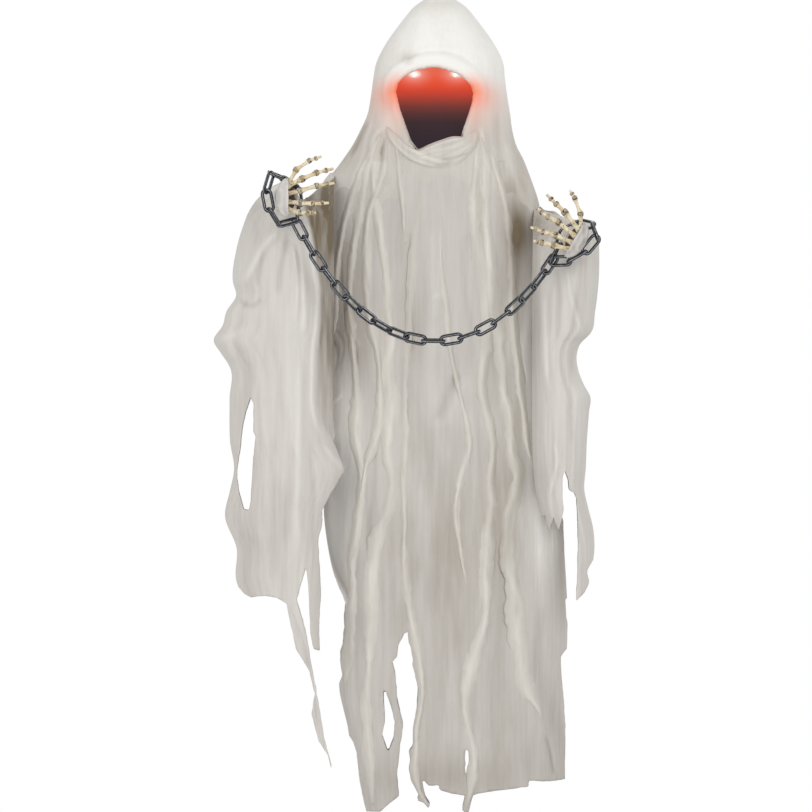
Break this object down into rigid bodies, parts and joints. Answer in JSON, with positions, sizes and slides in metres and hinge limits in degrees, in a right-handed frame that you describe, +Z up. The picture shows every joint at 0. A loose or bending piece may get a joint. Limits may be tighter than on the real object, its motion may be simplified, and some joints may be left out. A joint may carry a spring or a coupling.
{
  "type": "hanging ghost figure",
  "caption": "Hanging ghost in a ragged gauze robe with a lit hollow face, padded arms, bone hands and a chain slung between its wrists.",
  "frame": {"origin": "the point inside the top of the hanging ring where a hook bears", "axes": "+Z up, -Y the way the figure faces, +X towards the figure's own left hand"},
  "size_m": [0.8591, 0.4756, 1.8943],
  "materials": {
    "hood_gauze": "smooth off-white stretch cloth under fine gauze",
    "robe_gauze": "thin crumpled grey-white gauze, darker towards the hem",
    "drape_gauze": "loose cream gauze in ropey folds",
    "cuff_gauze": "grey-white gauze wrapped tight",
    "arm_wadding": "soft wadding round a bendable wire, covered in gauze",
    "shell_plastic": "moulded black plastic with a fine grain",
    "screen_plastic": "dark mesh lit red-orange by the lamps above",
    "lamp_lens": "clear domed lens, lit pink-white",
    "lead_sleeve": "soft two-core sleeve",
    "post_tube": "grey painted tube",
    "bone_plastic": "ivory plastic with brown wash in the joints",
    "chain_plastic": "black moulded plastic with a gunmetal gloss",
    "ring_steel": "bright plated wire and fasteners",
    "contact_steel": "plated spring sheet",
    "box_plastic": "black moulded plastic",
    "switch_plastic": "light grey ribbed slider",
    "cell_case": null
  },
  "bodies": {
    "figure": {"crown_eye_bolt": "ring_steel", "crown_washer": "ring_steel", "crown_nut": "ring_steel", "hood_cloth": "hood_gauze", "head_shell": "shell_plastic", "face_screen": "screen_plastic", "light_bar": "shell_plastic", "led_left": "lamp_lens", "led_right": "lamp_lens", "led_lead": "lead_sleeve", "neck_post": "post_tube", "post_screw": "ring_steel", "shoulder_bar": "shell_plastic", "robe_front": "robe_gauze", "robe_back": "robe_gauze", "drape_left": "drape_gauze", "drape_middle": "drape_gauze", "drape_right": "drape_gauze", "neck_cowl": "drape_gauze", "battery_box": "box_plastic", "battery_left": "cell_case", "battery_right": "cell_case", "contact_top": "contact_steel", "contact_bottom": "contact_steel"},
    "ring": {"hang_ring": "ring_steel"},
    "arm_right": {"arm_right": "arm_wadding", "hand_right": "bone_plastic", "cuff_right": "cuff_gauze", "wrist_chain_right": "chain_plastic", "sleeve_right": "robe_gauze"},
    "arm_left": {"arm_left": "arm_wadding", "hand_left": "bone_plastic", "cuff_left": "cuff_gauze", "wrist_chain_left": "chain_plastic", "sleeve_left": "robe_gauze"},
    "chain": {"swag_link_01": "chain_plastic", "swag_link_02": "chain_plastic", "swag_link_03": "chain_plastic", "swag_link_04": "chain_plastic", "swag_link_05": "chain_plastic", "swag_link_06": "chain_plastic", "swag_link_07": "chain_plastic", "swag_link_08": "chain_plastic", "swag_link_09": "chain_plastic", "swag_link_10": "chain_plastic", "swag_link_11": "chain_plastic", "swag_link_12": "chain_plastic", "swag_link_13": "chain_plastic", "swag_link_14": "chain_plastic", "swag_link_15": "chain_plastic", "swag_link_16": "chain_plastic", "swag_link_17": "chain_plastic", "swag_link_18": "chain_plastic", "swag_link_19": "chain_plastic"},
    "door": {"battery_door": "box_plastic"},
    "switch": {"power_switch": "switch_plastic"}
  },
  "joints": [
    {"name": "hang_ring_swing", "type": "hinge", "parent": "figure", "child": "ring", "pos_m": [0, 0, -0.0255], "axis": [1, 0, 0], "range_deg": [-45, 45]},
    {"name": "arm_right_lift", "type": "hinge", "parent": "figure", "child": "arm_right", "pos_m": [-0.2517, 0, -0.5553], "axis": [-1, 0, 0], "range_deg": [-8, 12]},
    {"name": "arm_left_lift", "type": "hinge", "parent": "figure", "child": "arm_left", "pos_m": [0.2176, 0, -0.5553], "axis": [-1, 0, 0], "range_deg": [-8, 12]},
    {"name": "chain_swing", "type": "hinge", "parent": "arm_right", "child": "chain", "pos_m": [-0.32319, -0.26, -0.56355], "axis": [0.9909, 0, -0.1343], "range_deg": [-12, 12]},
    {"name": "battery_door_slide", "type": "slide", "parent": "figure", "child": "door", "axis": [0, 0, -1], "range_m": [0, 0.045]},
    {"name": "power_switch_slide", "type": "slide", "parent": "figure", "child": "switch", "axis": [0, 0, 1], "range_m": [0, 0.004]}
  ],
  "couplings": [
    {"joint": "arm_left_lift", "follows": "arm_right_lift", "ratio": 1}
  ]
}
